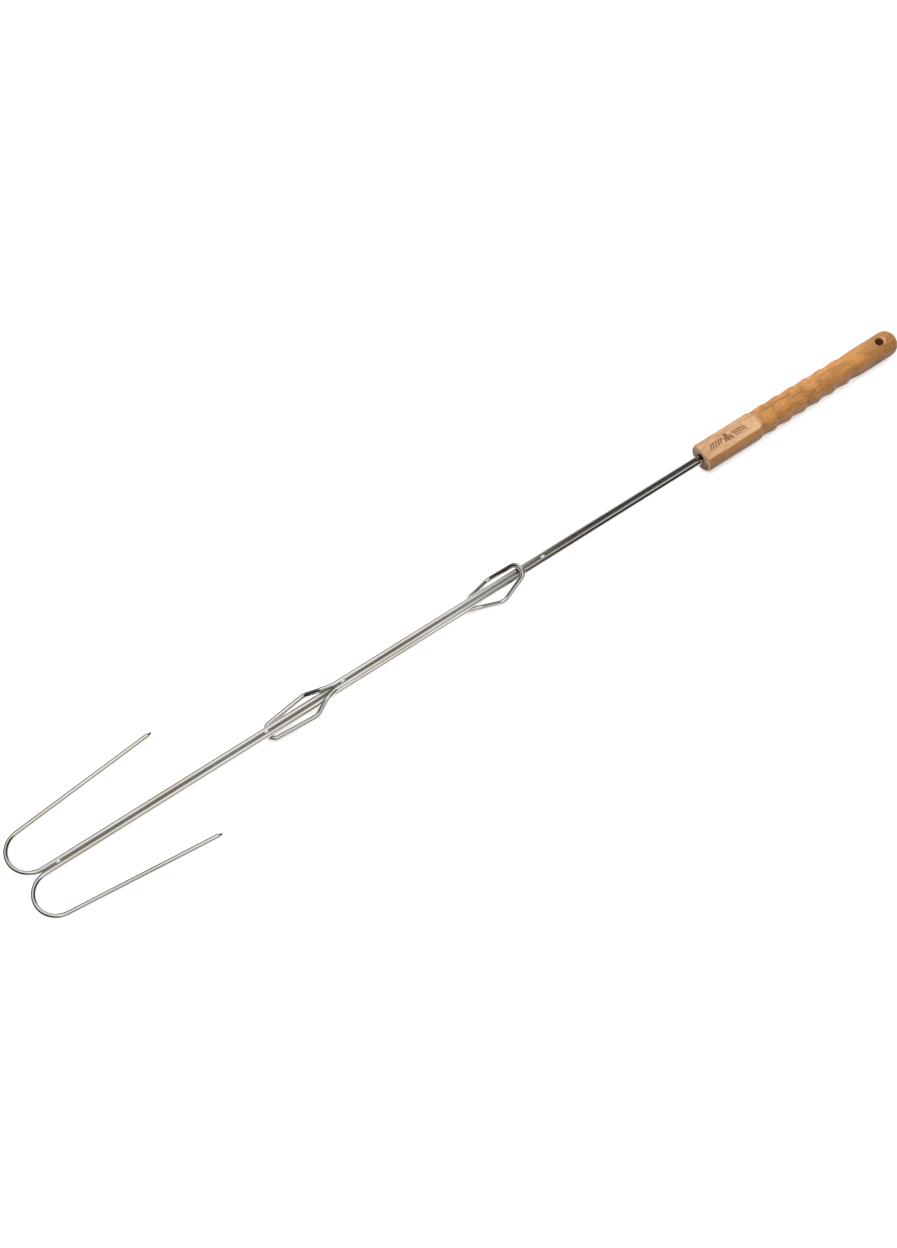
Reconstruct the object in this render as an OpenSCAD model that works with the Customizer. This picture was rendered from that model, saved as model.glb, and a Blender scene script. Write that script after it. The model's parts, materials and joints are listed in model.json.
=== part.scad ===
// Telescoping campfire roasting fork.
// A turned wooden handle holds a hairpin of steel wire. A second wire, bent into a fork with two tines,
// lies under it and slides along it, and each wire ends in a guide loop that rides round the other pair.
// Frame: the origin is the middle of the hang hole on the handle's axis, +X runs to the fork, +Z is up.

/* [Wire] */
// Diameter of the steel wire
wire_d = 5; // [4:0.5:6]
// Free gap between the two wires of a pair, closed only by the welds
pair_gap = 0.2; // [0.1:0.1:0.4]
// Clearance between the handle's pair and the fork's pair that slides along it
slide_gap = 0.3; // [0.2:0.1:0.8]

/* [Handle] */
// Length of the wooden handle
handle_len = 243; // [220:1:285]
// Radius of the handle at its front end
handle_front_r = 14.25; // [12.5:0.25:18]
// Radius of the handle at its rear end
handle_rear_r = 13; // [11.5:0.25:17]
// Length of the domed rear end
dome_len = 11; // [8:0.5:14]
// Rounding of the front edge
front_edge_r = 2; // [1:0.25:3]
// Distance from the rear tip to the hang hole
hole_inset = 21.5; // [19:0.5:30]
// Radius of the hang hole
hole_r = 4.5; // [3.5:0.25:5.5]
// Depth of the countersink at each mouth of the hang hole
hole_sink = 2; // [1:0.25:3]

/* [Finger grip] */
// Number of finger grooves
groove_count = 7; // [4:1:8]
// Distance from one groove to the next
groove_pitch = 18.4; // [16:0.2:20]
// Depth of the grooves
groove_depth = 1.2; // [0.6:0.1:2]
// Distance from the front face to the first groove
groove_start = 71.5; // [70:0.5:84]

/* [Milled flat] */
// Length of the flat on top of the handle, from the front face
flat_len = 66; // [45:1:69]
// Depth of the flat below the top of the handle
flat_depth = 4.25; // [3:0.25:5]
// Corner radius at the rear of the flat
flat_corner_r = 5; // [3:0.5:7]

/* [Wire socket] */
// Depth of the blind bore that holds the wire ends
bore_depth = 92; // [70:1:130]
// Clearance between the wire pair and the bore's wall
bore_gap = 0.2; // [0.1:0.05:0.5]
// Distance from the bore's bottom to the wire ends
wire_end_gap = 4; // [2:0.5:8]
// Distance from the front face to the glue's surface
glue_inset = 14; // [8:1:24]

/* [Sliding pairs] */
// Distance from the handle's front face to the start of the handle wire's guide loop
rod_len = 416.5; // [370:0.5:480]
// Distance from the start of the fork wire's guide loop to the crown of its bends
fork_len = 458; // [410:0.5:520]
// How far the fork stands forward of the handle's front face, measured at the crown
fork_reach = 733; // [700:1:780]

/* [Front guide loop] */
// Length of the handle wire's guide loop
front_loop_len = 71; // [64:1:85]
// Distance from the loop's start to its shoulder
front_shoulder = 11.5; // [10:0.5:15]
// How far each wire has moved out of its pair at the shoulder
front_shoulder_out = 2.6; // [2.2:0.1:5]
// Drop of the loop at its shoulder
front_shoulder_drop = 0.3; // [0:0.1:1]
// Distance from the loop's start to its widest place
front_belly = 26; // [23:0.5:32]
// Free gap on each side of the pair that the loop rides on, where the loop is widest
front_gap = 4.5; // [4:0.1:8]
// Drop of the loop at its widest place
front_drop = 6.5; // [2:0.1:7]
// Free gap on each side of that pair at the corners of the closed end
front_end_gap = 0; // [-0.4:0.1:0.8]

/* [Rear guide loop] */
// Length of the fork wire's guide loop
rear_loop_len = 62.5; // [60:0.5:80]
// Distance from the loop's start to its shoulder
rear_shoulder = 13.5; // [12:0.5:18]
// How far each wire has moved out of its pair at the shoulder
rear_shoulder_out = 5; // [4.2:0.1:6]
// Drop of the loop at its shoulder
rear_shoulder_drop = 0; // [0:0.1:1.5]
// Distance from the loop's start to its widest place
rear_belly = 35; // [31:0.5:38]
// Free gap on each side of the pair that the loop rides on, where the loop is widest
rear_gap = 6.1; // [4.5:0.1:9]
// Drop of the loop at its widest place
rear_drop = 3; // [0:0.1:4]
// Free gap on each side of that pair at the corners of the closed end, below zero where they lie over it
rear_end_gap = -0.8; // [-1.2:0.1:0.4]

/* [Loop bends] */
// Bend radius where a loop starts and at its shoulder
loop_start_r = 15; // [8:1:16]
// Bend radius where a loop is widest
loop_belly_r = 12; // [6:1:16]
// Bend radius of a loop's closed end
loop_end_r = 6.5; // [5:0.25:6.75]

/* [Tines] */
// Distance between the centres of a bend's two legs
bend_w = 41.6; // [34:0.2:50]
// Straight length of a tine from its bend to its tip
tine_len = 144; // [110:1:180]
// Angle that each tine splays outwards
tine_splay = 5.7; // [2:0.1:9]
// Length of the ground tip
tip_len = 4; // [2:0.5:8]
// Radius of the blunt end of the tip
tip_r = 1.1; // [0.6:0.1:1.6]

/* [Welds] */
// Length of a weld bead along the wires
weld_len = 5; // [3:0.5:8]
// Radius of a weld bead across the groove
weld_r = 2; // [1.5:0.1:2.4]
// Distance from the start of the front guide loop back to the weld that closes it
front_weld_inset = 9; // [6:0.5:14]
// Distance from the start of the rear guide loop forward to the weld that closes it
rear_weld_inset = 9; // [6:0.5:14]
// Distance from the handle's front face to the weld half way along the handle wire
mid_weld_x = 186.5; // [120:0.5:260]
// Distance from the front guide loop's closed end to the weld half way along the fork wire
fork_mid_weld_x = 1; // [0:0.5:40]
// Distance from the crown of the bends back to the weld behind them
crown_weld_inset = 35; // [28:1:60]
// Distance from the handle's front face back to the weld inside the socket
socket_weld_inset = 29.5; // [24:0.5:40]

/* [Hidden] */
round_fn = 48;
past = 1;
// Straight lengths run this far into the bends, whose section is finer by joint_step
joint_lap = 0.5;
joint_step = 0.04;
tip_lap = 0.1;
groove_steps = 10;
dome_steps = 10;

wire_r = wire_d / 2;
pair_y = wire_r + pair_gap / 2;
stack = wire_d + slide_gap;
fork_z = -stack;
// Half width, to the wire's centre, of a loop that just touches the sides of the pair that it rides on
snug_y = pair_y + wire_d;

rear_x = -hole_inset;
front_x = rear_x + handle_len;
top_z = handle_front_r - flat_depth;
bore_r = pair_y + wire_r + bore_gap;
bore_x = front_x - bore_depth;
wire_end_x = bore_x + wire_end_gap;
glue_x = front_x - glue_inset;
grip_front_x = front_x - groove_start + groove_pitch / 2;
grip_rear_x = grip_front_x - groove_count * groove_pitch;
dome_x = rear_x + dome_len;

front_loop_x = front_x + rod_len;
crown_x = front_x + fork_reach;
rear_loop_x = crown_x - fork_len;
bend_r = bend_w / 2;
bend_x = crown_x - bend_r;

// Each guide loop's shoulder, widest place and closed end: distance along, half width and drop
front_shape = [[front_shoulder, pair_y + front_shoulder_out, front_shoulder_drop],
               [front_belly, snug_y + front_gap, front_drop],
               [front_loop_len, snug_y + front_end_gap]];
rear_shape = [[rear_shoulder, pair_y + rear_shoulder_out, rear_shoulder_drop],
              [rear_belly, snug_y + rear_gap, rear_drop],
              [rear_loop_len, snug_y + rear_end_gap]];

// Points of one half of the handle wire and of the fork wire, each with its bend radius
handle_half = concat(
    [[[wire_end_x, pair_y, 0], 0]],
    loop_half(front_loop_x, 1, 0, front_shape, -2 * stack));
tine_corner_y = pair_y + bend_r * (1 + tan(45 - tine_splay / 2));
tine_run = tine_len + bend_r * tan(45 - tine_splay / 2);
tine_dir = [-cos(tine_splay), sin(tine_splay), 0];
tine_corner = [crown_x, tine_corner_y, fork_z];
tine_end = tine_corner + (tine_run - tip_len) * tine_dir;
fork_half = concat(
    [[tine_end, 0], [tine_corner, bend_r], [[crown_x, pair_y, fork_z], bend_r]],
    loop_half(rear_loop_x, -1, fork_z, rear_shape, stack));

// Start, shoulder, widest place and closed end of a guide loop that starts at x and runs along dir
function loop_half(x, dir, z, shape, end_z) = [
    [[x, pair_y, z], loop_start_r],
    [[x + dir * shape[0][0], shape[0][1], z - shape[0][2]], loop_start_r],
    [[x + dir * shape[1][0], shape[1][1], z - shape[1][2]], loop_belly_r],
    [[x + dir * shape[2][0], shape[2][1], end_z], loop_end_r]];

// The other half is the mirror image in the plane y = 0, in reverse order
function mirrored(half) = [for (i = [len(half) - 1 : -1 : 0])
    [[half[i][0].x, -half[i][0].y, half[i][0].z], half[i][1]]];
function whole(half) = concat(half, mirrored(half));

function unit(v) = v / norm(v);
function turn_at(a, b, c) = acos(min(1, max(-1, unit(b - a) * unit(c - b))));
function cut_back(p, i) = p[i][1] * tan(turn_at(p[i - 1][0], p[i][0], p[i + 1][0]) / 2);

// A straight length of wire from a to b
module rod(a, b) {
    v = b - a;
    translate(a)
        rotate([0, acos(v.z / norm(v)), atan2(v.y, v.x)])
            cylinder(h = norm(v), r = wire_r, $fn = round_fn);
}

// The bend of radius r that rounds the corner b between a and c
module elbow(a, b, c, r) {
    u = unit(b - a);
    w = unit(c - b);
    angle = turn_at(a, b, c);
    centre = b + unit(w - u) * r / cos(angle / 2);
    start = b - u * r * tan(angle / 2);
    across = unit(start - centre);
    normal = cross(across, u);
    multmatrix([[across.x, u.x, normal.x, centre.x],
                [across.y, u.y, normal.y, centre.y],
                [across.z, u.z, normal.z, centre.z],
                [0, 0, 0, 1]])
        rotate_extrude(angle = angle, $fn = round_fn)
            translate([r, 0])
                circle(r = wire_r - joint_step, $fn = round_fn);
}

// A wire bent through the points p, each given with its bend radius
module wire(p) {
    for (i = [0 : len(p) - 2]) {
        step = unit(p[i + 1][0] - p[i][0]);
        from = p[i][0] + step * (i == 0 ? 0 : cut_back(p, i) - joint_lap);
        to = p[i + 1][0] - step * (i == len(p) - 2 ? 0 : cut_back(p, i + 1) - joint_lap);
        rod(from, to);
    }
    for (i = [1 : len(p) - 2])
        elbow(p[i - 1][0], p[i][0], p[i + 1][0], p[i][1]);
}

module tine_tip() {
    translate(tine_end - tip_lap * tine_dir)
        rotate([0, 0, 180 - tine_splay])
            rotate([0, 90, 0])
                cylinder(h = tip_len + tip_lap, r1 = wire_r - joint_step, r2 = tip_r, $fn = round_fn);
}

// The space that the two straight wires of a pair fill from x0 to x1 at height z
module pair(x0, x1, z) {
    for (side = [-1, 1])
        rod([x0, side * pair_y, z], [x1, side * pair_y, z]);
}

// A weld bead lies in the groove between the wires of a pair and closes the gap between them
module weld(x, z) {
    half = weld_len / 2 - weld_r;
    color("gainsboro")
        difference() {
            translate([x, 0, z]) {
                translate([-half, 0, 0])
                    rotate([0, 90, 0])
                        cylinder(h = 2 * half, r = weld_r, $fn = round_fn);
                for (side = [-half, half])
                    translate([side, 0, 0])
                        sphere(r = weld_r, $fn = round_fn);
            }
            pair(x - weld_len, x + weld_len, z);
        }
}

// Radius of the handle at x, without its grooves
function barrel_r(x) = handle_rear_r
    + (handle_front_r - handle_rear_r) * min(1, max(0, (x - grip_rear_x) / (grip_front_x - grip_rear_x)));
function groove_cut(x) = groove_depth / 2 * (1 - cos(360 * (grip_front_x - x) / groove_pitch));

module handle_profile() {
    dome = [for (i = [0 : dome_steps])
        let (t = 90 * i / dome_steps)
        [handle_rear_r * sin(t), dome_x - dome_len * cos(t)]];
    steps = groove_count * groove_steps;
    grip = [for (i = [0 : steps])
        let (x = grip_rear_x + i * groove_pitch / groove_steps)
        [barrel_r(x) - groove_cut(x), x]];
    difference() {
        polygon(concat(dome, grip, [[handle_front_r, front_x], [0, front_x]]));
        translate([handle_front_r - front_edge_r, front_x - front_edge_r])
            difference() {
                square(front_edge_r + past);
                circle(r = front_edge_r, $fn = round_fn);
            }
    }
}

module flat_cutter() {
    edge_y = sqrt(pow(handle_front_r, 2) - pow(top_z, 2)) - flat_corner_r;
    x0 = front_x - flat_len;
    translate([0, 0, top_z])
        linear_extrude(height = flat_depth + past) {
            translate([x0, -edge_y])
                square([flat_len + past, 2 * edge_y]);
            translate([x0 + flat_corner_r, -handle_front_r])
                square([flat_len + past - flat_corner_r, 2 * handle_front_r]);
            for (side = [-1, 1])
                translate([x0 + flat_corner_r, side * edge_y])
                    circle(r = flat_corner_r, $fn = round_fn);
        }
}

module hang_hole() {
    top = handle_rear_r + past;
    cylinder(h = 2 * top, r = hole_r, center = true, $fn = round_fn);
    for (side = [0, 1])
        mirror([0, 0, side])
            translate([0, 0, handle_rear_r - hole_sink])
                cylinder(h = hole_sink + past, r1 = hole_r, r2 = hole_r + hole_sink + past, $fn = round_fn);
}

module handle() {
    color("burlywood")
        difference() {
            rotate([0, 90, 0])
                rotate_extrude($fn = round_fn * 2)
                    handle_profile();
            flat_cutter();
            hang_hole();
            translate([bore_x, 0, 0])
                rotate([0, 90, 0])
                    cylinder(h = bore_depth + past, r = bore_r, $fn = round_fn);
        }
}

module socket_glue() {
    color("wheat")
        difference() {
            translate([bore_x, 0, 0])
                rotate([0, 90, 0])
                    cylinder(h = glue_x - bore_x, r = bore_r, $fn = round_fn);
            pair(wire_end_x, glue_x + past, 0);
            translate([front_x - socket_weld_inset - weld_len, -pair_y, -weld_r])
                cube([2 * weld_len, 2 * pair_y, 2 * weld_r]);
        }
}

module handle_wire() {
    color("silver") wire(whole(handle_half));
}

module fork_wire() {
    color("silver") {
        wire(whole(fork_half));
        tine_tip();
        mirror([0, 1, 0]) tine_tip();
    }
}

module handle_weld_rear() { weld(front_x - socket_weld_inset, 0); }
module handle_weld_mid() { weld(front_x + mid_weld_x, 0); }
module handle_weld_front() { weld(front_loop_x - front_weld_inset, 0); }
module fork_weld_rear() { weld(rear_loop_x + rear_weld_inset, fork_z); }
module fork_weld_mid() { weld(front_loop_x + front_loop_len + fork_mid_weld_x, fork_z); }
module fork_weld_front() { weld(crown_x - crown_weld_inset, fork_z); }

handle();
socket_glue();
handle_wire();
fork_wire();
handle_weld_rear();
handle_weld_mid();
handle_weld_front();
fork_weld_rear();
fork_weld_mid();
fork_weld_front();
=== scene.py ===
"""Looks of a telescoping campfire roasting fork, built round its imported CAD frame.

Lengths are in metres in the frame's own axes: the origin is the middle of the hang hole on the
handle's axis, +X runs to the fork and +Z is up out of the milled flat. Sizes written with MM are
the part's own sizes in millimetres.
"""

from __future__ import annotations

import json
import logging
import math
from collections.abc import Callable, Sequence
from dataclasses import dataclass
from enum import Enum

import bmesh
import bpy
from mathutils import Matrix, Vector


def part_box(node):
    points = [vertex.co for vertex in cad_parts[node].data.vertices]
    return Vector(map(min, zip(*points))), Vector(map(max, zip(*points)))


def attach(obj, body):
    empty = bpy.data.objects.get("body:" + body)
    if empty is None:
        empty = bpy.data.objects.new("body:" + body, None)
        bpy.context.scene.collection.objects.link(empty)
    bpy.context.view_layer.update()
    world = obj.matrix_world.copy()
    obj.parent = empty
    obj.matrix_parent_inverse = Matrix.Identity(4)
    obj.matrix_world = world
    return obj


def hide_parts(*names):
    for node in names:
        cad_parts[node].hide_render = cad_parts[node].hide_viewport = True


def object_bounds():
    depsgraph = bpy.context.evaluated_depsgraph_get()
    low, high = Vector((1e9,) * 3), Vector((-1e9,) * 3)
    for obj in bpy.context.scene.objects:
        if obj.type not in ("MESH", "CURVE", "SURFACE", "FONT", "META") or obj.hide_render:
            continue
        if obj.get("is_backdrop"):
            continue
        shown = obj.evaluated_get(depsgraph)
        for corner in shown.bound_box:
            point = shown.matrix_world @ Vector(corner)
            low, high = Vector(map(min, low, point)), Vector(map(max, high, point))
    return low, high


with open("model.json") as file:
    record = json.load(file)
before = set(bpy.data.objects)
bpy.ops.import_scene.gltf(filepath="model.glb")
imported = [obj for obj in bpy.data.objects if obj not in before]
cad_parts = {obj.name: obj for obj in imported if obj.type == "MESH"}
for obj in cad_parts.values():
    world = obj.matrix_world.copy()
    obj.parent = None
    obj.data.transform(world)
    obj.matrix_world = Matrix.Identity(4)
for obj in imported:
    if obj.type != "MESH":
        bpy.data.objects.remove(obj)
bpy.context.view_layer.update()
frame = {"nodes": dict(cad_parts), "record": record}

MM = 0.001
HANDLE_BODY = "handle_body"
FORK_BODY = "fork_body"
HALF_TURN = math.pi
QUARTER_TURN = math.pi / 2
SAME_POINT = 0.00001 * MM
HAIR = 0.001 * MM
NEAR = 0.1 * MM
PITH = (0, 31 * MM, -46 * MM)
NOISE_RANGE = (0.3, 0.7)
LOG = logging.getLogger("roasting_fork")

Colour = tuple[float, float, float]
Inputs = dict[str | int, object]


# Bench: small wrappers round the modelling operators


class Kind(Enum):
    """The elements of a mesh that a pick selects."""

    VERTS = "VERT"
    EDGES = "EDGE"


def clear_bench() -> None:
    """Leaves nothing selected."""
    bpy.ops.object.select_all(action="DESELECT")
    bpy.context.view_layer.objects.active = None


def hold(piece: bpy.types.Object) -> None:
    """Makes a piece the only one selected, and active.

    Args:
        piece: The object to hold.
    """
    clear_bench()
    piece.select_set(True)
    bpy.context.view_layer.objects.active = piece


def name_new(name: str) -> bpy.types.Object:
    """Names the object that an operator has just added and fixes its place in its mesh.

    Args:
        name: The piece's name.

    Returns:
        The new object, at the origin, unturned and unscaled.
    """
    piece = bpy.context.object
    piece.name = name
    piece.data.name = name
    bpy.ops.object.transform_apply(location=True, rotation=True, scale=True)
    return piece


def start_edit(piece: bpy.types.Object) -> None:
    """Opens a piece in edit mode with nothing selected.

    Args:
        piece: The object to edit.
    """
    hold(piece)
    bpy.ops.object.mode_set(mode="EDIT")
    bpy.ops.mesh.select_all(action="DESELECT")


def stop_edit() -> None:
    """Goes back to object mode."""
    bpy.ops.object.mode_set(mode="OBJECT")


def pick(kind: Kind, test: Callable[[bmesh.types.BMVert | bmesh.types.BMEdge], bool]) -> None:
    """Selects the elements of the edited mesh that pass a test, and nothing else.

    Args:
        kind: Which elements to look at.
        test: Says whether an element is wanted.
    """
    bpy.ops.mesh.select_mode(type=kind.value)
    bpy.ops.mesh.select_all(action="DESELECT")
    mesh = bpy.context.edit_object.data
    cage = bmesh.from_edit_mesh(mesh)
    for element in cage.verts if kind is Kind.VERTS else cage.edges:
        if test(element):
            element.select_set(True)
    cage.select_flush_mode()
    bmesh.update_edit_mesh(mesh)


def extrude(step: Vector) -> None:
    """Extrudes what is selected by a step."""
    bpy.ops.mesh.extrude_region_move(TRANSFORM_OT_translate={"value": step})


def resize(factors: Sequence[float], centre: Vector) -> None:
    """Scales what is selected along each axis about a centre."""
    bpy.ops.transform.resize(value=factors, center_override=centre)


def close_end() -> None:
    """Fills the ring of edges that is selected with one face."""
    bpy.ops.mesh.edge_face_add()


def face_outwards(piece: bpy.types.Object) -> None:
    """Turns every face of a closed mesh outwards.

    Args:
        piece: The closed piece.
    """
    start_edit(piece)
    bpy.ops.mesh.select_all(action="SELECT")
    bpy.ops.mesh.remove_doubles(threshold=SAME_POINT)
    bpy.ops.mesh.normals_make_consistent(inside=False)
    stop_edit()


def smooth(piece: bpy.types.Object, degrees: float) -> None:
    """Shades a piece smooth and keeps the edges sharper than an angle."""
    hold(piece)
    bpy.ops.object.shade_smooth_by_angle(angle=math.radians(degrees))


def round_edges(piece: bpy.types.Object, width: float, segments: int, degrees: float,
                wanted: Callable[[Vector], bool]) -> None:
    """Rounds the edges of a piece that are sharper than an angle.

    Args:
        piece: The piece to round.
        width: The width of the rounding.
        segments: The steps across it.
        degrees: The angle from which an edge is rounded.
        wanted: Says from an end of an edge whether it is to be rounded.
    """
    start_edit(piece)
    pick(Kind.EDGES, lambda e: e.calc_face_angle(0) > math.radians(degrees) and wanted(e.verts[0].co))
    bpy.ops.mesh.bevel(offset=width, segments=segments, affect="EDGES", clamp_overlap=False)
    stop_edit()


def cut(piece: bpy.types.Object, cutter: bpy.types.Object) -> None:
    """Cuts a closed cutter out of a piece. The new faces take the cutter's finish.

    Args:
        piece: The piece that is cut.
        cutter: The solid that is taken away, and then thrown away.
    """
    hold(piece)
    bpy.ops.object.modifier_add(type="BOOLEAN")
    boolean = piece.modifiers[-1]
    boolean.operation = "DIFFERENCE"
    boolean.solver = "EXACT"
    boolean.material_mode = "TRANSFER"
    boolean.object = cutter
    bpy.ops.object.modifier_apply(modifier=boolean.name)
    bpy.data.objects.remove(cutter)


def seat(piece: bpy.types.Object, body: str) -> None:
    """Sets a finished piece on its CAD body and logs its face count.

    Args:
        piece: The finished piece.
        body: The CAD body that it moves with.
    """
    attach(piece, body)
    LOG.info("%s: %d faces on %s", piece.name, len(piece.data.polygons), body)


# Finishes


class Recipe:
    """The node tree of a material or a world, with short ways to add and join its nodes."""

    def __init__(self, name: str, world: bool = False) -> None:
        """Starts a material with a Principled surface, or a world with a Background.

        Args:
            name: The name of the material or the world.
            world: Whether it is a world.
        """
        self.material = (bpy.data.worlds if world else bpy.data.materials).new(name)
        self.material.use_nodes = True
        self.nodes = self.material.node_tree.nodes
        self.links = self.material.node_tree.links
        self.surface = self.nodes["Background" if world else "Principled BSDF"]

    def feed(self, node: bpy.types.Node, inputs: Inputs) -> None:
        """Links inputs of a node, or sets them to constants.

        Args:
            node: The node.
            inputs: An output socket or a constant for each input's name or number.
        """
        for key, value in inputs.items():
            if isinstance(value, bpy.types.NodeSocket):
                self.links.new(value, node.inputs[key])
            else:
                node.inputs[key].default_value = value

    def add(self, kind: str, inputs: Inputs | None = None, **settings: object) -> bpy.types.Node:
        """Adds a node.

        Args:
            kind: The node's type without its ShaderNode prefix.
            inputs: What its inputs are fed.
            **settings: Its other properties.

        Returns:
            The new node.
        """
        node = self.nodes.new("ShaderNode" + kind)
        for key, value in settings.items():
            setattr(node, key, value)
        self.feed(node, inputs or {})
        return node

    def place(self, scale: Sequence[float], shift: Sequence[float] = (0, 0, 0), source: object = None,
              turn: Sequence[float] = (0, 0, 0)) -> bpy.types.NodeSocket:
        """Gives scaled coordinates of the surface.

        Args:
            scale: The scale along each axis.
            shift: The shift added after scaling.
            source: The coordinates to start from, or None for the object's own.
            turn: The turn about each axis.

        Returns:
            The coordinates as a vector output.
        """
        start = source or self.add("TexCoord").outputs["Object"]
        inputs = {"Vector": start, "Scale": scale, "Location": shift, "Rotation": turn}
        return self.add("Mapping", inputs).outputs["Vector"]

    def noise(self, where: bpy.types.NodeSocket, detail: float = 3, rough: float = 0.55,
              distortion: float = 0) -> bpy.types.NodeSocket:
        """Gives noise between about 0.2 and 0.8 at scaled coordinates."""
        inputs = {"Vector": where, "Scale": 1.0, "Detail": detail, "Roughness": rough,
                  "Distortion": distortion}
        return self.add("TexNoise", inputs).outputs["Fac"]

    def span(self, value: bpy.types.NodeSocket, start: float, end: float, low: float = 0,
             high: float = 1) -> bpy.types.NodeSocket:
        """Maps a value smoothly from between start and end to between low and high, and clamps it."""
        inputs = {"Value": value, "From Min": start, "From Max": end, "To Min": low, "To Max": high}
        return self.add("MapRange", inputs, interpolation_type="SMOOTHSTEP").outputs["Result"]

    def sum(self, operation: str, a: object, b: object) -> bpy.types.NodeSocket:
        """Works out one Math operation on two values."""
        return self.add("Math", {0: a, 1: b}, operation=operation).outputs[0]

    def mix(self, share: object, a: object, b: object) -> bpy.types.NodeSocket:
        """Mixes two colours. The share is how much of the second shows."""
        first, second = (c if isinstance(c, bpy.types.NodeSocket) else (*c, 1) for c in (a, b))
        return self.add("Mix", {"Factor": share, 6: first, 7: second}, data_type="RGBA").outputs[2]

    def relief(self, height: bpy.types.NodeSocket, depth: float, strength: float) -> None:
        """Adds a bump to the surface, over any that it has.

        Args:
            height: The height from 0 to 1.
            depth: The depth of the relief.
            strength: How strongly it shows.
        """
        bump = self.add("Bump", {"Strength": strength, "Distance": depth, "Height": height})
        socket = self.surface.inputs["Normal"]
        if socket.is_linked:
            self.feed(bump, {"Normal": socket.links[0].from_socket})
        self.feed(self.surface, {"Normal": bump.outputs["Normal"]})


@dataclass(frozen=True)
class Finish:
    """A look between a pale and a deep colour, made as one material."""

    name: str
    pale: Colour
    deep: Colour

    def make(self) -> bpy.types.Material:
        """Builds the material.

        Returns:
            The finished material.
        """
        mix = Recipe(self.name)
        self.paint(mix)
        return mix.material

    def paint(self, mix: Recipe) -> None:
        """Adds the look's nodes to the new material's recipe."""
        raise NotImplementedError


@dataclass(frozen=True)
class Wood(Finish):
    """Beech cut from one blank: growth rings round a pith beside it, fibres, mottling and ray flecks."""

    roughness: float
    # Strength of the shade painted into the groove bottoms and underneath.
    painted_shade: float = 0.0
    oil: float = 0.0
    ring_pitch: float = 2.6 * MM
    lean: tuple[float, float, float] = (0, 0.045, -0.03)

    def paint(self, mix: Recipe) -> None:
        """Adds the grain, the flecks in it and, on the oiled handle wood, painted shade and a darkening
        towards both ends.

        Args:
            mix: The new material's recipe.
        """
        waves_in_unit = 20 / (2 * math.pi)
        rings_in = {"Vector": mix.place((1, 1, 1), PITH, turn=self.lean),
                    "Scale": 1 / (self.ring_pitch * waves_in_unit),
                    "Distortion": 2.4, "Detail": 2.0, "Detail Scale": 0.35}
        wave = mix.add("TexWave", rings_in, wave_type="RINGS", rings_direction="X", wave_profile="SIN")
        rings = mix.span(wave.outputs["Fac"], 0.15, 0.95, 0, 0.8)
        fibres = mix.noise(mix.place((34, 900, 900)), detail=4, rough=0.6)
        cloud = mix.noise(mix.place((14, 60, 60), (3, 1, 7)), detail=3)
        mottle = mix.noise(mix.place((75, 210, 210), (8, 3, 5)), detail=5, rough=0.62, distortion=0.6)
        grain = mix.sum("ADD", mix.sum("MULTIPLY", rings, 0.34), mix.span(fibres, *NOISE_RANGE, 0, 0.34))
        blotch = mix.sum("ADD", mix.span(cloud, *NOISE_RANGE, -0.2, 0.24),
                         mix.span(mottle, *NOISE_RANGE, -0.42, 0.46))
        colour = mix.mix(mix.sum("ADD", grain, blotch), self.pale, self.deep)
        cells_in = {"Vector": mix.place((190, 1500, 1500), (0.4, 0.7, 0.2)), "Scale": 1.0}
        cells = mix.add("TexVoronoi", cells_in, feature="F1")
        patch = mix.span(mix.noise(mix.place((26, 90, 90), (5, 2, 1))), 0.45, 0.62)
        flecks = mix.sum("MULTIPLY", mix.span(cells.outputs["Distance"], 0.16, 0.34, 0.6, 0), patch)
        colour = mix.mix(flecks, colour, tuple(0.45 * c for c in self.deep))
        # Painted shade: darker in the groove bottoms and underneath, and darker towards both ends.
        if self.painted_shade:
            colour = mix.mix(self.shade_mask(mix), colour, tuple(0.5 * c for c in self.deep))
        gloss = mix.span(fibres, 0.25, 0.75, self.roughness - 0.07, self.roughness + 0.09)
        mix.feed(mix.surface, {"Base Color": colour, "Roughness": gloss, "Coat Weight": self.oil,
                               "Coat Roughness": 0.38, "Specular IOR Level": 0.35})
        mix.relief(fibres, 0.09 * MM, 0.55)
        mix.relief(mix.sum("MULTIPLY", flecks, -1), 0.08 * MM, 0.6)

    def shade_mask(self, mix: Recipe) -> bpy.types.NodeSocket:
        """Works out where the wood is darkened: painted shade in the groove bottoms and underneath, broken
        into blotches, and a darkening towards both ends.

        Args:
            mix: The material's recipe.

        Returns:
            How dark each place is painted.
        """
        where = mix.add("SeparateXYZ", {0: mix.add("TexCoord").outputs["Object"]})
        # Painted shade: darker towards the underside and in the groove bottoms, broken into blotches.
        under = mix.span(where.outputs["Z"], 10 * MM, -6 * MM)
        blotches = mix.span(mix.noise(mix.place((45, 110, 110), (2, 8, 4)), detail=4), 0.35, 0.7, 0.55, 1)
        hollow = mix.add("Attribute", attribute_name=Handle.HOLLOW, attribute_type="GEOMETRY")
        bottom = mix.sum("POWER", hollow.outputs["Fac"], 2.2)
        shade_mask = mix.sum("ADD", mix.sum("MULTIPLY", bottom, 0.85), mix.sum("MULTIPLY", under, 1.25))
        # Darker towards the rear end and the front end.
        rear = mix.span(where.outputs["X"], 34 * MM, 8 * MM, 0, 0.34)
        front = mix.span(where.outputs["X"], 150 * MM, 170 * MM, 0, 0.22)
        blotchy_shade = mix.sum("MULTIPLY", mix.sum("MULTIPLY", shade_mask, blotches), self.painted_shade)
        return mix.sum("ADD", blotchy_shade, mix.sum("ADD", rear, front))


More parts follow.
